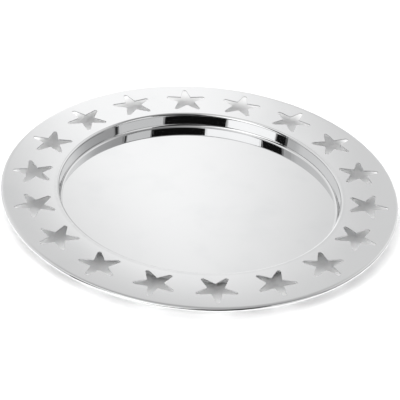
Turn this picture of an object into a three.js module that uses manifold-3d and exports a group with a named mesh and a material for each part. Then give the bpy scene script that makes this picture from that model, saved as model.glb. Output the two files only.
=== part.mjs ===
// Round offering plate of pressed stainless steel: a shallow well, a wide rim pierced with a ring of
// stars, an outer edge rolled round a wire, and a felt disc under the floor. Millimetres, +Z up.
// The origin is the centre of the felt's underside, and one star lies on +X.
import * as THREE from "three";
import { mergeVertices } from "three/addons/utils/BufferGeometryUtils.js";
import Module from "manifold-3d";

// Driving dimensions
const PLATE_RADIUS = 175;
const SHEET = 0.8;
const SEGMENTS = 72;

// Well
const WALL_ANGLE = degrees(84); // above the horizontal
const FLOOR_BEND_RADIUS = 3; // bend radii are those of the sheet's middle line
const MOUTH_BEND_RADIUS = 2;
const MOUTH_RADIUS = 126.3; // where the flat rim starts
const MOUTH_HEIGHT = 12.4; // of the rim above the floor, where the rim starts
const BEND_STEPS = 4;

// Rim
const RIM_RISE = degrees(0.3); // the rim is very slightly crowned: it starts with this slope
const RIM_FALL = degrees(1); // and ends with this one
const RIM_STEPS = 3;
const CROWN_RADIUS = 26; // the rim then rolls over towards the edge
const EDGE_FALL = degrees(6); // and reaches it with this slope
const CROWN_STEPS = 1;

// Rolled edge
const WIRE_RADIUS = 0.6;
const WIRE_CLEARANCE = 0.3;
const WIRE_SIDES = 6;
const EDGE_STEPS = 2; // to the plate's widest point
const CURL_UNDER = degrees(180); // how far the sheet goes on round the wire past that point
const CURL_STEPS = 5;

// Pierced stars
const STAR_COUNT = 18;
const STAR_RING_RADIUS = 147.6;
const STAR_RADIUS = 18.4; // to the tips, which are rounded
const STAR_WAIST = 7.6; // to the inner corners
const STAR_TIP_RADIUS = 1.8;
const STAR_POINTS = 5;
const TIP_STEPS = 2;

// Felt
const FELT_RADIUS = 112;
const FELT_THICKNESS = 1.5;
const GLUE_GAP = 0.3;

const FLOOR_HEIGHT = FELT_THICKNESS + GLUE_GAP + SHEET / 2; // of the sheet's middle line

const STEEL = new THREE.MeshStandardMaterial({ color: 0xd9dbdd, roughness: 0.06, metalness: 1 });
const WIRE_STEEL = new THREE.MeshStandardMaterial({ color: 0x9a9c9e, roughness: 0.4, metalness: 1 });
const FELT = new THREE.MeshStandardMaterial({ color: 0x6b1420, roughness: 0.95, metalness: 0 });

function degrees(angle) {
  return (angle * Math.PI) / 180;
}

const wasm = await Module();
wasm.setup();

/** A closed three.js geometry as a manifold-3d solid. */
function solid(geometry) {
  const bare = geometry.clone();
  bare.deleteAttribute("normal");
  bare.deleteAttribute("uv");
  const welded = mergeVertices(bare, 1e-3);
  const corners = welded.index.array;
  const triangles = [];
  for (let i = 0; i < corners.length; i += 3) {
    const [a, b, c] = corners.slice(i, i + 3);
    if (a !== b && b !== c && c !== a) triangles.push(a, b, c); // a triangle on the axis has no area
  }
  return new wasm.Manifold(
    new wasm.Mesh({
      numProp: 3,
      vertProperties: welded.attributes.position.array,
      triVerts: new Uint32Array(triangles),
    }),
  );
}

/** A manifold-3d solid as a three.js geometry. */
function geometryOf(body) {
  const { vertProperties, triVerts } = body.getMesh();
  const geometry = new THREE.BufferGeometry();
  geometry.setAttribute("position", new THREE.BufferAttribute(vertProperties, 3));
  geometry.setIndex(new THREE.BufferAttribute(triVerts, 1));
  geometry.computeVertexNormals();
  return geometry;
}

/** Turns a profile of (radius, height) points round the Z axis. */
function turned(profile) {
  return new THREE.LatheGeometry(profile, SEGMENTS).rotateX(Math.PI / 2);
}

function namedMesh(name, geometry, material) {
  const mesh = new THREE.Mesh(geometry, material);
  mesh.name = name;
  return mesh;
}

/** The sheet's middle line, from the axis outwards: straight runs joined by tangent bends. */
class MiddleLine {
  constructor(height) {
    this.heading = 0;
    this.points = [{ at: new THREE.Vector2(0, height), heading: 0 }];
  }

  get end() {
    return this.points.at(-1).at;
  }

  mark(at) {
    this.points.push({ at, heading: this.heading });
  }

  /** Goes straight on for a length. */
  run(length) {
    this.mark(this.end.clone().add(polar(length, this.heading)));
    return this;
  }

  /** Turns by an angle, anticlockwise where it is positive, on an arc of the given radius. */
  bend(angle, radius, steps) {
    const side = Math.sign(angle) * (Math.PI / 2);
    const centre = this.end.clone().add(polar(radius, this.heading + side));
    const start = this.heading;
    for (let i = 1; i <= steps; i++) {
      this.heading = start + (angle * i) / steps;
      this.mark(centre.clone().add(polar(radius, this.heading - side)));
    }
    return this;
  }

  /** The closed outline of a sheet of the given thickness, from its underside on the axis to its top. */
  outline(thickness) {
    const offset = (side) =>
      this.points.map(({ at, heading }) =>
        at.clone().add(polar((side * thickness) / 2, heading + Math.PI / 2)),
      );
    return [...offset(-1), ...offset(1).reverse()];
  }
}

function polar(length, angle) {
  return new THREE.Vector2(length * Math.cos(angle), length * Math.sin(angle));
}

/** The height that a bend from one heading to another climbs, and the distance it goes outwards. */
function bendSpan(from, to, radius) {
  const sense = Math.sign(to - from);
  return {
    out: sense * radius * (Math.sin(to) - Math.sin(from)),
    up: sense * radius * (Math.cos(from) - Math.cos(to)),
  };
}

const curlRadius = WIRE_RADIUS + WIRE_CLEARANCE + SHEET / 2; // of the middle line round the wire
const straightDown = -Math.PI / 2;

/** The plate's middle line, with the wall and the rim as long as the mouth and the edge need. */
function plateMiddleLine() {
  const floorBend = bendSpan(0, WALL_ANGLE, FLOOR_BEND_RADIUS);
  const mouthBend = bendSpan(WALL_ANGLE, RIM_RISE, MOUTH_BEND_RADIUS);
  const wallHeight = MOUTH_HEIGHT - floorBend.up - mouthBend.up;
  const wall = wallHeight / Math.sin(WALL_ANGLE);

  const crown = bendSpan(-RIM_FALL, -EDGE_FALL, CROWN_RADIUS);
  const curl = bendSpan(-EDGE_FALL, straightDown, curlRadius);
  const rimWidth = PLATE_RADIUS - SHEET / 2 - curl.out - crown.out - MOUTH_RADIUS;
  const rimRadius = rimWidth / bendSpan(RIM_RISE, -RIM_FALL, 1).out;

  const floor = MOUTH_RADIUS - mouthBend.out - wall * Math.cos(WALL_ANGLE) - floorBend.out;
  return new MiddleLine(FLOOR_HEIGHT)
    .run(floor)
    .bend(WALL_ANGLE, FLOOR_BEND_RADIUS, BEND_STEPS)
    .run(wall)
    .bend(RIM_RISE - WALL_ANGLE, MOUTH_BEND_RADIUS, BEND_STEPS)
    .bend(-RIM_RISE - RIM_FALL, rimRadius, RIM_STEPS)
    .bend(RIM_FALL - EDGE_FALL, CROWN_RADIUS, CROWN_STEPS)
    .bend(straightDown + EDGE_FALL, curlRadius, EDGE_STEPS)
    .bend(-CURL_UNDER, curlRadius, CURL_STEPS);
}

/** A star with rounded tips and one tip along +X. */
function starShape() {
  const halfPitch = Math.PI / STAR_POINTS;
  const tipCentre = STAR_RADIUS - STAR_TIP_RADIUS;
  // An arm's side runs from the inner corner to where it touches the tip's circle.
  const toCorner = polar(STAR_WAIST, halfPitch).sub(polar(tipCentre, 0));
  const touch = toCorner.angle() - Math.acos(STAR_TIP_RADIUS / toCorner.length());
  const star = new THREE.Shape();
  for (let i = 0; i < STAR_POINTS; i++) {
    const turn = 2 * halfPitch * i;
    const centre = polar(tipCentre, turn);
    star.absarc(centre.x, centre.y, STAR_TIP_RADIUS, turn - touch, turn + touch, false);
    const corner = polar(STAR_WAIST, turn + halfPitch);
    star.lineTo(corner.x, corner.y);
  }
  return star;
}

/** The prisms that pierce the rim, as one body. */
function starPunch() {
  const depth = 4 * MOUTH_HEIGHT;
  const options = { depth, bevelEnabled: false, curveSegments: TIP_STEPS };
  const prism = new THREE.ExtrudeGeometry(starShape(), options);
  prism.translate(STAR_RING_RADIUS, 0, 0);
  const copies = Array.from({ length: STAR_COUNT }, (_, i) =>
    solid(prism.clone().rotateZ((2 * Math.PI * i) / STAR_COUNT)),
  );
  return copies.reduce((all, copy) => all.add(copy));
}

function pressedPlate(middleLine) {
  const sheet = solid(turned(middleLine.outline(SHEET)));
  return namedMesh("pressed_plate", geometryOf(sheet.subtract(starPunch())), STEEL);
}

/** The wire runs round the plate at the centre of the curl, which its middle line ends on. */
function edgeWire(middleLine) {
  const { at, heading } = middleLine.points.at(-1);
  const centre = at.clone().add(polar(curlRadius, heading - Math.PI / 2));
  const section = Array.from({ length: WIRE_SIDES + 1 }, (_, i) =>
    centre.clone().add(polar(WIRE_RADIUS, (2 * Math.PI * (i % WIRE_SIDES)) / WIRE_SIDES)),
  );
  return namedMesh("edge_wire", turned(section), WIRE_STEEL);
}

function baseFelt() {
  const geometry = new THREE.CylinderGeometry(FELT_RADIUS, FELT_RADIUS, FELT_THICKNESS, SEGMENTS);
  geometry.rotateX(Math.PI / 2).translate(0, 0, FELT_THICKNESS / 2);
  return namedMesh("base_felt", geometry, FELT);
}

const plate = new THREE.Group();
const middleLine = plateMiddleLine();
plate.add(pressedPlate(middleLine), edgeWire(middleLine), baseFelt());

export default plate;
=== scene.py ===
import math

import bmesh
import bpy
import numpy as np
from mathutils import Matrix, Vector


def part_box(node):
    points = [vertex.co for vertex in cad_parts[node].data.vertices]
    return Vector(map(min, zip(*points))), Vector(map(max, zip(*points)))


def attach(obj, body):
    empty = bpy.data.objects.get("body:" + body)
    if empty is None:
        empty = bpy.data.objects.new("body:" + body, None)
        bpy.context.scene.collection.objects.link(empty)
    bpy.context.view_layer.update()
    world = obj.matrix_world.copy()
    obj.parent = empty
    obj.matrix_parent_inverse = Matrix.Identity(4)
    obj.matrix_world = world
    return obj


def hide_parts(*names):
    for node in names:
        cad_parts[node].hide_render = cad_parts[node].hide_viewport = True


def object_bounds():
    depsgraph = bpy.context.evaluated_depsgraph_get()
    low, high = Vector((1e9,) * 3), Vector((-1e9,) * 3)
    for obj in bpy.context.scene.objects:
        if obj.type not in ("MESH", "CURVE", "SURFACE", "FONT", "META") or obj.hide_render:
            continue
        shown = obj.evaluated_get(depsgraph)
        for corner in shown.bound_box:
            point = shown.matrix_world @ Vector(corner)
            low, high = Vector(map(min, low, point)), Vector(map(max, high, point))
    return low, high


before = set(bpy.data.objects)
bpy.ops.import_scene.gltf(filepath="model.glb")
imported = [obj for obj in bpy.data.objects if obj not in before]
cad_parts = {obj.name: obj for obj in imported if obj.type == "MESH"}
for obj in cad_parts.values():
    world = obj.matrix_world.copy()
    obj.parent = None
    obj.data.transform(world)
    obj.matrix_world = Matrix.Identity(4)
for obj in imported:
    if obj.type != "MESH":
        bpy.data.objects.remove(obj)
cad_low, cad_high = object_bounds()

# The looks of a round offering plate: a mirror-polished steel sheet with a ring of pierced stars,
# its edge wire and its felt. Metres, in the frame's own axes.

# The sheet, from the frame where the frame holds it
plate_low, plate_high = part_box("pressed_plate")
PLATE_RADIUS = plate_high.x
SHEET = 0.0008
WALL_ANGLE = math.radians(84)
FLOOR_BEND_RADIUS = 0.003  # all bend radii are those of the sheet's middle line
MOUTH_BEND_RADIUS = 0.002
MOUTH_RADIUS = 0.1263  # where the flat rim starts
RIM_RISE = math.radians(0.3)
RIM_FALL = math.radians(1)
CROWN_RADIUS = 0.026
EDGE_FALL = math.radians(6)
CURL_RADIUS = 0.0013  # round the wire
CURL_UNDER = math.radians(180)
FLOOR_HEIGHT = plate_low.z + SHEET / 2
RIM_HEIGHT = plate_high.z - SHEET / 2  # of the rim's highest circle

# The stars
STAR_COUNT = 18
STAR_RING_RADIUS = 0.1476
STAR_RADIUS = 0.0184
STAR_WAIST = 0.0076
STAR_TIP_RADIUS = 0.0018
STAR_CORNER_RADIUS = 0.0005
STAR_POINTS = 5
CUT_ROUNDING = 0.00016  # of the sheet's edges where the punch went through

# The wire's ends
WIRE_HALF_GAP = 0.0006  # from the middle of the gap to each end
WIRE_END = ((0.0, 0.0), (0.75, 0.0), (0.95, 0.08), (1.0, 0.25))  # thickness and place, over its radius

# The felt
FELT_SEED = 7
FELT_WAVES = np.arange(3, 40)  # of the uneven cut, as waves round the disc
FELT_UNEVENNESS = 0.0004
FELT_NAP = 0.00012
FELT_SQUARENESS = 0.6  # the cut edge is squarer than a half circle, whose power is 1

# How finely the curves are cut
FLOOR_STEPS = 14
FLOOR_BEND_STEPS = 9
WALL_STEPS = 4
MOUTH_BEND_STEPS = 10
CROWN_STEPS = 3
EDGE_STEPS = 7
CURL_STEPS = 12
SHEET_END_STEPS = 8
TIP_STEPS = 8
CORNER_STEPS = 3
SIDE_STEPS = 3
LAND_STEPS = 6
ROUNDING_STEPS = 3
WIRE_STATIONS = 481
WIRE_SIDES = 16
FELT_COLUMNS = 320
FELT_RINGS = 25
FELT_EDGE_STEPS = 8
WELD_DISTANCE = 1e-6

# The camera, as lengths over the plate's radius and as angles in degrees
CAMERA_DISTANCE = 10.94
CAMERA_AZIMUTH = 2.24
CAMERA_ELEVATION = 33.83
CAMERA_ROLL = 4.67
CAMERA_LENS = 195.75  # mm, over a film 36 mm wide
AIM_LEFT = 0.003
AIM_DROP = 0.0556

HALF_PITCH = math.pi / STAR_COUNT


# ---------------------------------------------------------------- sections

def polar(length, angle):
    return np.array([length * math.cos(angle), length * math.sin(angle)])


class MiddleLine:
    """The sheet's middle line in section: rows of radius, height and heading, from the axis outwards."""

    def __init__(self, radius, height, heading):
        self.rows = [(radius, height, heading)]

    def run(self, length, steps):
        radius, height, heading = self.rows[-1]
        for i in range(1, steps + 1):
            x, z = (radius, height) + polar(length * i / steps, heading)
            self.rows.append((x, z, heading))
        return self

    def bend(self, angle, bend_radius, steps):
        radius, height, heading = self.rows[-1]
        side = math.copysign(math.pi / 2, angle)
        centre = (radius, height) + polar(bend_radius, heading + side)
        for i in range(1, steps + 1):
            turned = heading + angle * i / steps
            x, z = centre + polar(bend_radius, turned - side)
            self.rows.append((x, z, turned))
        return self

    def face(self, side):
        """The points and outward normals of the sheet's top, side 1, or of its underside, side -1."""
        radius, height, heading = np.array(self.rows).T
        normal = side * np.column_stack([-np.sin(heading), np.cos(heading)])
        return np.column_stack([radius, height]) + normal * SHEET / 2, normal


def bend_span(start, end, radius):
    """How far out and up a bend goes from one heading to another."""
    sense = math.copysign(1, end - start)
    out = sense * radius * (math.sin(end) - math.sin(start))
    up = sense * radius * (math.cos(start) - math.cos(end))
    return out, up


def well_line():
    """From the axis to the mouth, where the rim starts."""
    floor_out, floor_up = bend_span(0, WALL_ANGLE, FLOOR_BEND_RADIUS)
    mouth_out, mouth_up = bend_span(WALL_ANGLE, RIM_RISE, MOUTH_BEND_RADIUS)
    climb = RIM_CENTRE[1] + RIM_ARC_RADIUS * math.cos(RIM_RISE) - FLOOR_HEIGHT
    wall = (climb - floor_up - mouth_up) / math.sin(WALL_ANGLE)
    floor = MOUTH_RADIUS - mouth_out - wall * math.cos(WALL_ANGLE) - floor_out
    line = MiddleLine(0, FLOOR_HEIGHT, 0).run(floor, FLOOR_STEPS)
    line.bend(WALL_ANGLE, FLOOR_BEND_RADIUS, FLOOR_BEND_STEPS).run(wall, WALL_STEPS)
    return line.bend(RIM_RISE - WALL_ANGLE, MOUTH_BEND_RADIUS, MOUTH_BEND_STEPS)


def rim_arc():
    """The rim's middle line is one shallow arc: its centre, its radius, and the rim's outer radius."""
    crown_out, _ = bend_span(-RIM_FALL, -EDGE_FALL, CROWN_RADIUS)
    curl_out, _ = bend_span(-EDGE_FALL, -math.pi / 2, CURL_RADIUS)
    outer = PLATE_RADIUS - SHEET / 2 - curl_out - crown_out
    radius = (outer - MOUTH_RADIUS) / (math.sin(RIM_RISE) + math.sin(RIM_FALL))
    centre = np.array([MOUTH_RADIUS + radius * math.sin(RIM_RISE), RIM_HEIGHT - radius])
    return centre, radius, outer


RIM_CENTRE, RIM_ARC_RADIUS, RIM_RADIUS = rim_arc()


def edge_line():
    """From the rim over the crown and round the wire. The sheet's end is rounded, so the line stops
    half a sheet short of it."""
    start = RIM_CENTRE + polar(RIM_ARC_RADIUS, math.pi / 2 - RIM_FALL)
    line = MiddleLine(start[0], start[1], -RIM_FALL)
    line.bend(RIM_FALL - EDGE_FALL, CROWN_RADIUS, CROWN_STEPS)
    line.bend(EDGE_FALL - math.pi / 2, CURL_RADIUS, EDGE_STEPS)
    return line.bend(SHEET / 2 / CURL_RADIUS - CURL_UNDER, CURL_RADIUS, CURL_STEPS)


# ---------------------------------------------------------------- meshes

def strip_quads(rows, columns, first=0):
    """The faces between rows of points that each close on themselves, as indices from the first one."""
    index = first + np.arange(rows * columns).reshape(rows, columns)
    beside = np.roll(index, -1, axis=1)
    return np.stack([index[:-1], beside[:-1], beside[1:], index[1:]], axis=-1).reshape(-1, 4)


def weld(mesh, recalculate=False):
    """Joins points that meet, and with recalculate turns all faces outwards."""
    work = bmesh.new()
    work.from_mesh(mesh)
    bmesh.ops.remove_doubles(work, verts=work.verts, dist=WELD_DISTANCE)
    if recalculate:
        bmesh.ops.recalc_face_normals(work, faces=work.faces)
    work.to_mesh(mesh)
    work.free()


def shade_smooth(mesh):
    mesh.polygons.foreach_set("use_smooth", [True] * len(mesh.polygons))


class Skin:
    """Grids of points with their exact normals, which are welded into one closed mesh."""

    def __init__(self):
        self.points = []
        self.normals = []
        self.faces = []
        self.slots = []
        self.count = 0

    def grid(self, points, normals, slots):
        """Adds rows of points that each close on themselves, with a material slot for each strip."""
        rows, columns = points.shape[:2]
        quads = strip_quads(rows, columns, self.count)
        flat, facing = points.reshape(-1, 3), normals.reshape(-1, 3)
        local = quads - self.count
        across = np.cross(flat[local[:, 2]] - flat[local[:, 0]], flat[local[:, 3]] - flat[local[:, 1]])
        if np.sum(across * facing[local[:, 0]]) < 0:  # the faces look the wrong way
            quads = quads[:, ::-1]
        self.points.append(flat)
        self.normals.append(facing)
        self.faces.append(quads)
        self.slots.append(np.repeat(slots, columns))
        self.count += rows * columns

    def turned(self, section, section_normals, angles, slots):
        """Adds a section of (radius, height) rows turned round the axis."""
        self.grid(spun(section, angles), spun(section_normals, angles), slots)

    def piece(self, name, materials):
        """Makes the object, with the exact normals kept for smooth reflections."""
        mesh = bpy.data.meshes.new(name)
        mesh.from_pydata(np.concatenate(self.points), [], np.concatenate(self.faces).tolist())
        mesh.polygons.foreach_set("material_index", np.concatenate(self.slots).astype(np.int32))
        kept = mesh.attributes.new("exact_normal", "FLOAT_VECTOR", "POINT")
        kept.data.foreach_set("vector", np.concatenate(self.normals).astype(np.float32).ravel())
        weld(mesh)
        for material in materials:
            mesh.materials.append(material)
        shade_smooth(mesh)
        normals = np.zeros(len(mesh.vertices) * 3, np.float32)
        kept = mesh.attributes["exact_normal"]
        kept.data.foreach_get("vector", normals)
        mesh.attributes.remove(kept)
        mesh.normals_split_custom_set_from_vertices(normals.reshape(-1, 3).tolist())
        mesh.update()
        return linked(name, mesh)


def spun(rows, angles):
    """(radius, height) rows as a grid of points round the axis."""
    radius, height = rows[:, :1], rows[:, 1:]
    x, y = radius * np.cos(angles), radius * np.sin(angles)
    return np.stack([x, y, np.broadcast_to(height, x.shape)], axis=-1)


def linked(name, data):
    """Makes an object of a mesh, light or camera, and puts it in the scene."""
    obj = bpy.data.objects.new(name, data)
    bpy.context.scene.collection.objects.link(obj)
    return obj


# ---------------------------------------------------------------- the rim and its stars

def arc(centre, radius, start, end, steps, outward):
    """Points on an arc in the plan, with their normals away from its centre, or towards it."""
    angles = np.linspace(start, end, steps + 1)
    away = np.column_stack([np.cos(angles), np.sin(angles)])
    return centre + radius * away, away if outward else -away


def star_outline():
    """The star's outline about its own centre, one tip along +X, with normals into the metal."""
    half = math.pi / STAR_POINTS
    tip_centre = STAR_RADIUS - STAR_TIP_RADIUS
    to_corner = polar(STAR_WAIST, half) - polar(tip_centre, 0)
    touch = math.atan2(to_corner[1], to_corner[0]) - math.acos(STAR_TIP_RADIUS / np.linalg.norm(to_corner))
    lean = math.pi / 2 - touch + half  # between an arm's side and the line out through the inner corner
    points, normals = [], []
    for i in range(STAR_POINTS):
        turn = 2 * half * i
        tip, tip_normals = arc(
            polar(tip_centre, turn), STAR_TIP_RADIUS, turn - touch, turn + touch, TIP_STEPS, True
        )
        reach = STAR_WAIST + STAR_CORNER_RADIUS / math.sin(lean)
        middle = turn + half
        swing = math.pi / 2 - lean
        corner, corner_normals = arc(
            polar(reach, middle), STAR_CORNER_RADIUS,
            middle + math.pi + swing, middle + math.pi - swing, CORNER_STEPS, False,
        )
        for part, part_normals in ((tip, tip_normals), (corner, corner_normals)):
            points.append(part)
            normals.append(part_normals)
    return with_sides(points, normals)


def with_sides(parts, part_normals):
    """Joins arcs in a ring with straight sides, cut into steps."""
    points, normals = [], []
    for i, part in enumerate(parts):
        following = parts[(i + 1) % len(parts)]
        points.append(part)
        normals.append(part_normals[i])
        share = np.arange(1, SIDE_STEPS)[:, None] / SIDE_STEPS
        points.append(part[-1] + (following[0] - part[-1]) * share)
        normals.append(np.repeat(part_normals[i][-1:], SIDE_STEPS - 1, axis=0))
    return np.concatenate(points), np.concatenate(normals)


def land_border(points):
    """Where rays from the star's centre through these points meet its share of the rim, in the plan.
    The share is a sector between two circles, and its four corners each get the nearest ray."""
    ray = points / np.linalg.norm(points, axis=1)[:, None]
    along, across = ray.T
    slope = math.tan(HALF_PITCH)
    with np.errstate(divide="ignore", invalid="ignore"):
        to_side = STAR_RING_RADIUS * slope / (np.abs(across) - along * slope)
    to_side[to_side <= 0] = np.inf
    nearest = STAR_RING_RADIUS * along
    reach = nearest**2 - STAR_RING_RADIUS**2
    to_outer = np.sqrt(reach + RIM_RADIUS**2) - nearest
    inward = reach + MOUTH_RADIUS**2
    to_inner = np.where((inward > 0) & (along < 0), -nearest - np.sqrt(np.maximum(inward, 0)), np.inf)
    length = np.minimum(np.minimum(to_side, to_outer), to_inner)
    centre = polar(STAR_RING_RADIUS, 0)
    border = centre + ray * length[:, None]
    for radius in (MOUTH_RADIUS, RIM_RADIUS):
        for angle in (HALF_PITCH, -HALF_PITCH):
            corner = polar(radius, angle)
            aim = (corner - centre) / np.linalg.norm(corner - centre)
            border[np.argmax(ray @ aim)] = corner
    return border


def on_rim(plan, offset):
    """Points of the plan lifted onto the rim, offset from its middle line, with the rim's normals."""
    radius = np.linalg.norm(plan, axis=-1)
    out = (radius - RIM_CENTRE[0]) / RIM_ARC_RADIUS
    up = np.sqrt(1 - out**2)
    normal = np.stack([out * plan[..., 0] / radius, out * plan[..., 1] / radius, up], axis=-1)
    height = RIM_CENTRE[1] + RIM_ARC_RADIUS * up
    return np.concatenate([plan, height[..., None]], axis=-1) + normal * offset, normal


def rounded_cut():
    """The sheet's cut edge from top to underside: rows of inset into the metal, offset and lean."""
    quarter = np.linspace(0, math.pi / 2, ROUNDING_STEPS + 1)
    inset = CUT_ROUNDING * (1 - np.sin(quarter))
    offset = SHEET / 2 - CUT_ROUNDING * (1 - np.cos(quarter))
    top = np.column_stack([inset, offset, quarter])
    under = np.column_stack([inset, -offset, math.pi - quarter])[::-1]
    return np.concatenate([top, under])


TOP_STEEL, UNDER_STEEL, CUT_STEEL = range(3)


def add_rim(skin):
    """Adds the rim's sectors and returns the angles at which they meet the mouth and the edge."""
    outline, into_metal = star_outline()
    centre = polar(STAR_RING_RADIUS, 0)
    inner = outline + into_metal * CUT_ROUNDING + centre
    border = land_border(inner - centre)
    outline = outline + centre
    share = np.linspace(0, 1, LAND_STEPS + 1)[:, None, None]
    land = border + (inner - border) * share
    top, top_normals = on_rim(land, SHEET / 2)
    under, under_normals = on_rim(land[::-1], -SHEET / 2)

    cut_points, cut_normals = [], []
    into_hole = np.column_stack([-into_metal, np.zeros(len(into_metal))])
    for inset, offset, lean in rounded_cut()[1:-1]:  # its first and last rows are the land's own edges
        point, normal = on_rim(outline + into_metal * inset, offset)
        cut_points.append(point)
        cut_normals.append(normal * math.cos(lean) + into_hole * math.sin(lean))
    points = np.concatenate([top, cut_points, under])
    normals = np.concatenate([top_normals, cut_normals, -under_normals])
    strips = len(points) - 1
    slots = np.full(strips, CUT_STEEL)
    slots[: LAND_STEPS + 1] = TOP_STEEL
    slots[strips - LAND_STEPS - 1:] = UNDER_STEEL
    for i in range(STAR_COUNT):
        turn = np.array(Matrix.Rotation(2 * HALF_PITCH * i, 3, "Z"))
        skin.grid(points @ turn.T, normals @ turn.T, slots)
    return [ring_angles(border, radius) for radius in (MOUTH_RADIUS, RIM_RADIUS)]


def ring_angles(border, radius):
    """The angles of a sector's border points that lie on a circle, repeated round the plate."""
    on_circle = np.abs(np.linalg.norm(border, axis=1) - radius) < 1e-9
    angles = np.sort(np.arctan2(border[on_circle, 1], border[on_circle, 0]))[:-1]
    return np.concatenate([angles + 2 * HALF_PITCH * i for i in range(STAR_COUNT)])


def make_plate(materials):
    skin = Skin()
    mouth_angles, edge_angles = add_rim(skin)
    for side, slot in ((1, TOP_STEEL), (-1, UNDER_STEEL)):
        section, normals = well_line().face(side)
        skin.turned(section, normals, mouth_angles, np.full(len(section) - 1, slot))

    line = edge_line()
    top, top_normals = line.face(1)
    under, under_normals = line.face(-1)
    radius, height, heading = line.rows[-1]
    around = heading + math.pi / 2 - np.linspace(0, math.pi, SHEET_END_STEPS + 1)[1:-1]
    end_normals = np.column_stack([np.cos(around), np.sin(around)])
    end = (radius, height) + end_normals * SHEET / 2
    section = np.concatenate([top, end, under[::-1]])
    section_normals = np.concatenate([top_normals, end_normals, under_normals[::-1]])
    slots = np.full(len(section) - 1, TOP_STEEL)
    slots[len(top):] = UNDER_STEEL
    skin.turned(section, section_normals, edge_angles, slots)
    return skin.piece("plate_sheet", materials)


# ---------------------------------------------------------------- the wire and the felt

def make_wire(material):
    """A drawn wire, bent into a ring whose two ends nearly meet."""
    low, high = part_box("edge_wire")
    wire_radius = (high.z - low.z) / 2
    ring = high.x - wire_radius
    gap = WIRE_HALF_GAP / ring
    turn = np.linspace(gap, 2 * math.pi - gap, WIRE_STATIONS)
    section = np.linspace(0, 2 * math.pi, WIRE_SIDES, endpoint=False)
    # The cut ends are slightly rounded: each closes on the wire's own centre.
    stations = [(scale, turn[0] + back * wire_radius / ring) for scale, back in WIRE_END]
    stations += [(1.0, angle) for angle in turn[2:-2]]
    stations += [(scale, turn[-1] - back * wire_radius / ring) for scale, back in WIRE_END[::-1]]
    rows = []
    for scale, angle in stations:
        out = ring + scale * wire_radius * np.cos(section)
        up = (low.z + high.z) / 2 + scale * wire_radius * np.sin(section)
        rows.append(np.stack([out * math.cos(angle), out * math.sin(angle), up], axis=-1))
    return plain_piece("rim_wire", np.array(rows), material)


def plain_piece(name, points, material):
    """A grid of rows that close on themselves, with points welded where they meet, smooth-shaded."""
    mesh = bpy.data.meshes.new(name)
    mesh.from_pydata(points.reshape(-1, 3), [], strip_quads(*points.shape[:2]).tolist())
    weld(mesh, recalculate=True)
    mesh.materials.append(material)
    shade_smooth(mesh)
    return linked(name, mesh)


def felt_section(radius, thickness):
    """Radius and height from the axis out along the underside, round the cut edge and back on top."""
    half = thickness / 2
    closing = 0.8  # below 1, the rings sit closer together towards the edge
    inner = np.linspace(0, 1, FELT_RINGS + 1)[:-1] ** closing * (radius - half)
    lean = np.linspace(-math.pi / 2, math.pi / 2, FELT_EDGE_STEPS + 1)
    outer_r = radius - half + half * squared(np.cos(lean))
    outer_z = half + half * squared(np.sin(lean))
    section_r = np.concatenate([inner, outer_r, inner[::-1]])
    section_z = np.concatenate([np.zeros(len(inner)), outer_z, np.full(len(inner), thickness)])
    return section_r, section_z


def squared(swing):
    return np.sign(swing) * np.abs(swing) ** FELT_SQUARENESS


def make_felt(material):
    """A die-cut felt disc: softly rounded edge, a slightly uneven cut and a matted face."""
    low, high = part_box("base_felt")
    radius, thickness = high.x, high.z - low.z
    random = np.random.default_rng(FELT_SEED)
    angles = np.arange(FELT_COLUMNS) * 2 * math.pi / FELT_COLUMNS
    phases = random.uniform(0, 2 * math.pi, len(FELT_WAVES))
    ragged = (np.sin(np.outer(angles, FELT_WAVES) + phases) / np.sqrt(FELT_WAVES)).sum(axis=1)
    ragged = (ragged - ragged.max()) / np.ptp(ragged) * FELT_UNEVENNESS  # only inwards

    section_r, section_z = felt_section(radius, thickness)
    near_edge = (section_r[:, None] / radius) ** 6
    reach = section_r[:, None] + ragged * near_edge
    nap = random.uniform(0, FELT_NAP, reach.shape)
    into_felt = np.sign(thickness / 2 - section_z)[:, None]
    nap[section_r < 1e-9] = 0  # the points on the axis stay together
    height = low.z + section_z[:, None] + nap * into_felt
    points = np.stack([reach * np.cos(angles), reach * np.sin(angles), height], axis=-1)
    return plain_piece("felt_base", points, material)


# ---------------------------------------------------------------- shader nodes

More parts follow.
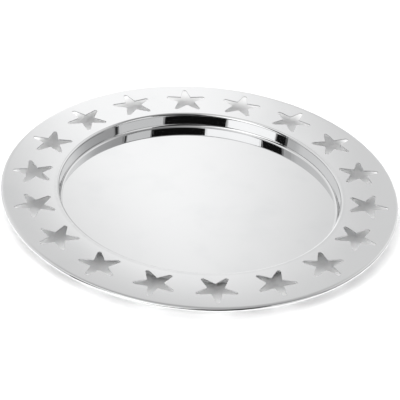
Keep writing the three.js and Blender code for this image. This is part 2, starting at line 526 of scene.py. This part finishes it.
class Graph:
    """Adds shader nodes with short calls. An input is a socket to link or a plain value."""

    def __init__(self, tree):
        self.tree = tree
        tree.nodes.clear()

    def node(self, kind, inputs, **settings):
        """Adds a node, with its inputs by name or by number."""
        made = self.tree.nodes.new(kind)
        for name, value in settings.items():
            setattr(made, name, value)
        for name, value in inputs.items():
            if isinstance(value, bpy.types.NodeSocket):
                self.tree.links.new(value, made.inputs[name])
            else:
                made.inputs[name].default_value = value
        return made

    def math(self, operation, *values):
        return self.node("ShaderNodeMath", dict(enumerate(values)), operation=operation).outputs[0]

    def product(self, first, *others):
        """Multiplies plain values."""
        for value in others:
            first = self.math("MULTIPLY", first, value)
        return first

    def total(self, first, *others):
        """Adds up plain values."""
        for value in others:
            first = self.math("ADD", first, value)
        return first

    def mixed(self, factor, first, second):
        """Mixes two plain values."""
        return self.node("ShaderNodeMix", {0: factor, 2: first, 3: second}).outputs[0]

    def combine(self, x, y, z):
        return self.node("ShaderNodeCombineXYZ", {0: x, 1: y, 2: z}).outputs[0]

    def split(self, vector):
        return self.node("ShaderNodeSeparateXYZ", {0: vector}).outputs

    def noise(self, vector, scale, detail=2.0, roughness=0.5):
        inputs = {"Vector": vector, "Scale": scale, "Detail": detail, "Roughness": roughness}
        return self.node("ShaderNodeTexNoise", inputs).outputs["Fac"]

    def smooth(self, value, start, end, low, high):
        """low up to start, high from end, and a smooth step between."""
        inputs = {"Value": value, "From Min": start, "From Max": end, "To Min": low, "To Max": high}
        return self.node("ShaderNodeMapRange", inputs, interpolation_type="SMOOTHSTEP").outputs[0]

    def blend(self, factor, first, second):
        """Mixes two colours."""
        made = self.node("ShaderNodeMix", {0: factor}, data_type="RGBA")
        for socket, value in ((made.inputs[6], first), (made.inputs[7], second)):
            if isinstance(value, bpy.types.NodeSocket):
                self.tree.links.new(value, socket)
            else:
                socket.default_value = (*value, 1)
        return made.outputs[2]

    def bump(self, height, distance, strength=1.0, normal=None):
        inputs = {"Height": height, "Distance": distance, "Strength": strength}
        if normal is not None:
            inputs["Normal"] = normal
        return self.node("ShaderNodeBump", inputs).outputs[0]

    def surface(self, inputs):
        shader = self.node("ShaderNodeBsdfPrincipled", inputs)
        self.node("ShaderNodeOutputMaterial", {"Surface": shader.outputs[0]})
        return shader


def new_material(name):
    material = bpy.data.materials.new(name)
    material.use_nodes = True
    return material, Graph(material.node_tree)


def round_axis(graph):
    """The place on the object, its distance from the axis, and a unit vector that points out from it."""
    place = graph.node("ShaderNodeTexCoord", {}).outputs["Object"]
    x, y, _ = graph.split(place)
    flat = graph.combine(x, y, 0.0)
    distance = graph.node("ShaderNodeVectorMath", {0: flat}, operation="LENGTH").outputs["Value"]
    outward = graph.node("ShaderNodeVectorMath", {0: flat}, operation="NORMALIZE").outputs["Vector"]
    return place, distance, outward


def stretched(graph, outward, distance, around, across):
    """Coordinates that run slowly one way and quickly the other, and join up round the axis."""
    x, y, _ = graph.split(outward)
    return graph.combine(
        graph.product(x, around), graph.product(y, around), graph.product(distance, across)
    )


def polished_steel():
    """Mirror polish with the sheet's faint waviness, draw marks on the wall, hairlines and a light haze."""
    material, graph = new_material("polished_steel")
    place, distance, outward = round_axis(graph)
    haze = graph.smooth(graph.noise(place, 26.0, 3.0), 0.45, 0.75, 0.0, 1.0)
    fine = graph.noise(place, 900.0, 2.0)
    roughness = graph.math("MULTIPLY_ADD", haze, 0.02, 0.022)
    roughness = graph.math("MULTIPLY_ADD", fine, 0.012, roughness)

    waviness = graph.bump(graph.noise(place, 16.0, 1.0), 0.00002)
    marks = graph.noise(stretched(graph, outward, distance, 34.0, 60.0), 1.0, 3.0, 0.6)
    on_wall = graph.product(
        graph.smooth(distance, MOUTH_RADIUS - 0.006, MOUTH_RADIUS - 0.003, 0.0, 1.0),
        graph.smooth(distance, MOUTH_RADIUS - 0.002, MOUTH_RADIUS + 0.003, 1.0, 0.0),
    )
    drawn = graph.bump(graph.product(marks, on_wall), 0.00006, 1.0, waviness)
    hairlines = graph.noise(stretched(graph, outward, distance, 6.0, 5200.0), 1.0, 1.0)
    normal = graph.bump(hairlines, 0.0000002, 0.5, drawn)
    graph.surface({
        "Base Color": graph.blend(haze, (0.735, 0.738, 0.742), (0.715, 0.72, 0.725)),
        "Metallic": 1.0,
        "Roughness": roughness,
        "Normal": normal,
    })
    return material


def satin_steel():
    """The underside, left as the spinning pads finished it: fine rings round the axis."""
    material, graph = new_material("satin_steel")
    place, distance, outward = round_axis(graph)
    rings = graph.noise(stretched(graph, outward, distance, 2.0, 2600.0), 1.0, 3.0, 0.65)
    cloud = graph.noise(place, 14.0, 3.0)
    roughness = graph.math("MULTIPLY_ADD", rings, 0.16, 0.2)
    graph.surface({
        "Base Color": graph.blend(cloud, (0.6, 0.605, 0.61), (0.69, 0.692, 0.695)),
        "Metallic": 1.0,
        "Roughness": graph.math("MULTIPLY_ADD", cloud, 0.1, roughness),
        "Normal": graph.bump(rings, 0.000004),
    })
    return material


def sheared_steel():
    """The punched edges of the stars: scored through, with an uneven torn roughness."""
    material, graph = new_material("sheared_steel")
    place, _, _ = round_axis(graph)
    x, y, z = graph.split(place)
    down_the_cut = graph.combine(graph.product(x, 4000.0), graph.product(y, 4000.0), z)
    scoring = graph.noise(down_the_cut, 1.0, 2.0)
    torn = graph.noise(place, 2500.0, 3.0, 0.7)
    graph.surface({
        "Base Color": graph.blend(scoring, (0.52, 0.525, 0.53), (0.68, 0.682, 0.685)),
        "Metallic": 1.0,
        "Roughness": graph.math("MULTIPLY_ADD", torn, 0.2, 0.22),
        "Normal": graph.bump(scoring, 0.00001),
    })
    return material


def drawn_wire():
    """Bright drawn wire with fine lines along its length."""
    material, graph = new_material("drawn_wire")
    place, distance, outward = round_axis(graph)
    lines = graph.noise(stretched(graph, outward, distance, 8.0, 9000.0), 1.0, 3.0)
    stain = graph.noise(place, 60.0, 3.0)
    graph.surface({
        "Base Color": graph.blend(stain, (0.36, 0.355, 0.34), (0.58, 0.58, 0.575)),
        "Metallic": 1.0,
        "Roughness": graph.math("MULTIPLY_ADD", lines, 0.2, 0.28),
        "Normal": graph.bump(lines, 0.000006),
    })
    return material


def felt_cloth():
    """Dark red wool felt: matted fibres that run every way, with a tone that varies at random and is also
    painted lighter on the raised fibres, as a painted highlight.
    """
    material, graph = new_material("felt_cloth")
    place = graph.node("ShaderNodeTexCoord", {}).outputs["Object"]
    fibres = graph.noise(place, 2600.0, 4.0, 0.7)
    clumps = graph.noise(place, 320.0, 3.0)
    height = graph.math("MULTIPLY_ADD", clumps, 1.4, fibres)
    graph.surface({
        # painted highlight: the fibre noise that lightens the colour also raises the bump, so raised fibres
        # are painted lighter; the rest is random fibre tone
        "Base Color": graph.blend(
            graph.smooth(fibres, 0.35, 0.68, 0.0, 1.0), (0.12, 0.006, 0.011), (0.33, 0.03, 0.045)
        ),
        "Roughness": graph.math("MULTIPLY_ADD", clumps, 0.12, 0.86),
        "Sheen Weight": 0.55,
        "Sheen Roughness": 0.45,
        "Normal": graph.bump(height, 0.00018),
    })
    return material


# ---------------------------------------------------------------- the studio

PAPER_REACH = 11.0
PAPER_TUCK = 0.006  # how far the paper reaches in under the felt
PAPER_DROP = 0.0001  # from the felt's underside down to the paper
PAPER_RINGS = 14
PAPER_COLUMNS = 96

# The tent is what the steel mirrors. Its directions are in degrees: elevation above the horizontal, and
# bearing from straight behind the plate or from straight in front of it, positive to the right. They
# and the brightnesses were fitted to the reflections in the photo, and guessed elsewhere.
BACK_BRIGHTNESS = 0.825
GLOW_BRIGHTNESS = 0.425  # added in a patch behind the plate
GLOW_LEAN = 0.75
GLOW_LEVEL = 34  # the elevation at which the glow's left side is placed
FRONT_BRIGHTNESS = 1.08
PANEL_LEVEL = 21  # the elevation at which the panels' edges are placed
VIEWED_BRIGHTNESS = 1.0  # the camera itself sees plain white

# The front's panels from left to right. Each is its left edge's bearing, the edge's lean to the right
# for each degree up, the edge's softness, the panel's brightness, and whether it dims on the way up.
PANELS = (
    (-100.0, 0.0, 16.0, 1.0, True),
    (-79.0, -0.29, 6.0, 0.72, True),
    (-67.2, -0.29, 0.8, 0.01, False),
    (-56.8, 0.26, 0.8, 1.64, False),
    (-14.5, 0.68, 0.8, 0.007, False),  # the opening that the picture is taken through
    (36.3, 0.68, 0.8, 0.93, False),
    (75.3, 0.0, 0.8, 0.03, False),
    (78.8, 0.0, 0.8, 0.52, False),
    (96.0, 0.0, 14.0, 0.64, False),
    (122.0, 0.0, 18.0, 1.1, False),
)

# Name, place, diameter and power in watts
PAPER_LIGHTS = (
    ("overhead", (-0.2, 0.1, 2.0), 3.0, 24.0),
    ("front_left", (-1.3, -1.6, 0.95), 0.8, 30.0),
    ("front_right", (1.3, -1.6, 0.95), 0.8, 30.0),
)


def paper_floor():
    """White paper, seen from above only, so that the underside can be looked at from below."""
    material, graph = new_material("paper_floor")
    place = graph.node("ShaderNodeTexCoord", {}).outputs["Object"]
    grain = graph.noise(place, 400.0, 4.0)
    paper = graph.node("ShaderNodeBsdfPrincipled", {
        "Base Color": graph.blend(grain, (0.9, 0.9, 0.9), (0.92, 0.92, 0.92)),
        "Roughness": 0.95,
        "Specular IOR Level": 0.1,
    })
    clear = graph.node("ShaderNodeBsdfTransparent", {})
    from_below = graph.node("ShaderNodeNewGeometry", {}).outputs["Backfacing"]
    mixed = graph.node("ShaderNodeMixShader", {0: from_below, 1: paper.outputs[0], 2: clear.outputs[0]})
    graph.node("ShaderNodeOutputMaterial", {"Surface": mixed.outputs[0]})
    return material


def make_floor():
    """A round sheet of paper, cut out under the felt so that light from below can reach it there."""
    cut_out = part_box("base_felt")[1].x - PAPER_TUCK
    reach = np.geomspace(cut_out, PAPER_REACH, PAPER_RINGS)
    angles = np.linspace(0, 2 * math.pi, PAPER_COLUMNS, endpoint=False)
    rows = np.column_stack([reach, np.full(PAPER_RINGS, cad_low.z - PAPER_DROP)])
    quads = strip_quads(PAPER_RINGS, PAPER_COLUMNS)[:, ::-1]  # facing up
    mesh = bpy.data.meshes.new("studio_floor")
    mesh.from_pydata(spun(rows, angles).reshape(-1, 3), [], quads.tolist())
    mesh.materials.append(paper_floor())
    linked("studio_floor", mesh)


def leaning(graph, bearing, elevation, lean, level):
    """A bearing, less the lean to the right that an edge gets above the elevation it is placed at."""
    return graph.math("MULTIPLY_ADD", elevation, -lean, graph.math("ADD", bearing, lean * level))


def tent_back(graph, elevation, behind, aside):
    """Pale, lighter to both sides, with a brighter patch a little left of the middle."""
    drift = leaning(graph, behind, elevation, GLOW_LEAN, GLOW_LEVEL)
    glow = graph.product(
        graph.smooth(drift, -10.5, -3.2, 0.0, 1.0),
        graph.smooth(behind, -3.5, 4.0, 1.0, 0.0),
        graph.smooth(elevation, 33.2, 41.0, 1.0, 0.0),
        GLOW_BRIGHTNESS,
    )
    high = graph.product(
        graph.smooth(elevation, 37.0, 46.0, 0.0, 1.0), graph.smooth(aside, 15.0, 45.0, -0.3, 0.15)
    )
    sides = graph.smooth(aside, 9.0, 26.0, 0.0, 0.24)
    low = graph.smooth(elevation, 8.0, 26.0, -0.15, 0.0)
    return graph.total(BACK_BRIGHTNESS, glow, high, sides, low)


def tent_front(graph, elevation, ahead):
    """White, grey and black panels, darker near the ground. The plain front also dims higher up."""
    dimming = graph.smooth(elevation, 25.0, 40.0, 1.0, 0.84)
    front = graph.product(FRONT_BRIGHTNESS, dimming)
    for edge, lean, soft, brightness, dims in PANELS:
        if dims:
            brightness = graph.product(brightness, dimming)
        along = leaning(graph, ahead, elevation, lean, PANEL_LEVEL)
        front = graph.mixed(graph.smooth(along, edge - soft, edge + soft, 0.0, 1.0), front, brightness)
    return graph.product(front, graph.smooth(elevation, 9.0, 16.0, 0.5, 1.0))


def make_studio():
    """The tent, all round and overhead, as the world's light. The camera sees plain white instead."""
    world = bpy.data.worlds.new("studio")
    bpy.context.scene.world = world
    world.use_nodes = True
    graph = Graph(world.node_tree)
    x, y, z = graph.split(graph.node("ShaderNodeTexCoord", {}).outputs["Generated"])
    elevation = graph.math("DEGREES", graph.math("ARCSINE", z))
    behind = graph.math("DEGREES", graph.math("ARCTAN2", x, y))
    ahead = graph.math("DEGREES", graph.math("ARCTAN2", x, graph.math("MULTIPLY", y, -1.0)))
    aside = graph.math("ABSOLUTE", behind)

    back = tent_back(graph, elevation, behind, aside)
    front = tent_front(graph, elevation, ahead)
    ceiling = graph.smooth(x, -0.42, 0.34, 1.15, 0.3)
    light = graph.mixed(graph.smooth(aside, 22.0, 34.0, 0.0, 1.0), back, front)
    light = graph.mixed(graph.smooth(elevation, 50.0, 64.0, 0.0, 1.0), light, ceiling)
    seen = graph.node("ShaderNodeLightPath", {}).outputs["Is Camera Ray"]
    strength = graph.mixed(seen, light, VIEWED_BRIGHTNESS)
    background = graph.node(
        "ShaderNodeBackground", {"Color": (1.0, 1.0, 1.0, 1.0), "Strength": strength}
    )
    graph.node("ShaderNodeOutputWorld", {"Surface": background.outputs[0]})


def make_paper_lights():
    """Wide soft lights for the paper, from overhead and from low in front, on both sides of the opening.
    They are switched off in reflections, so the steel mirrors only the tent and the paper."""
    for name, place, diameter, power in PAPER_LIGHTS:
        data = bpy.data.lights.new(name, "AREA")
        data.shape = "DISK"
        data.size = diameter
        data.energy = power
        lamp = linked(name, data)
        lamp.location = place
        lamp.rotation_euler = Vector(place).to_track_quat("Z", "Y").to_euler()
        lamp.visible_glossy = False


def make_camera():
    """Above the front, rolled a little, with the mouth's plane just over the middle of the picture."""
    azimuth = math.radians(CAMERA_AZIMUTH)
    elevation = math.radians(CAMERA_ELEVATION)
    roll = math.radians(CAMERA_ROLL)
    level = math.cos(elevation)
    back = Vector((math.sin(azimuth) * level, -math.cos(azimuth) * level, math.sin(elevation)))
    right = Vector((math.cos(azimuth), math.sin(azimuth), 0))
    up = back.cross(right)
    rolled_right = right * math.cos(roll) + up * math.sin(roll)
    rolled_up = back.cross(rolled_right)

    middle = Vector((0, 0, plate_high.z))
    place = middle + back * CAMERA_DISTANCE * PLATE_RADIUS
    aim = middle - (rolled_right * AIM_LEFT + rolled_up * AIM_DROP) * PLATE_RADIUS
    back = (place - aim).normalized()
    turned = Matrix((rolled_right, back.cross(rolled_right), back)).transposed()

    data = bpy.data.cameras.new("camera")
    data.lens = CAMERA_LENS
    camera = linked("camera", data)
    camera.matrix_world = Matrix.Translation(place) @ turned.to_4x4()
    bpy.context.scene.camera = camera


# ---------------------------------------------------------------- the object

plate = make_plate([polished_steel(), satin_steel(), sheared_steel()])
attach(plate, "root")
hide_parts("pressed_plate")

wire = make_wire(drawn_wire())
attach(wire, "root")
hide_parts("edge_wire")

felt = make_felt(felt_cloth())
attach(felt, "root")
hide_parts("base_felt")

make_floor()
make_studio()
make_paper_lights()
make_camera()
bpy.context.scene.view_settings.view_transform = "Standard"
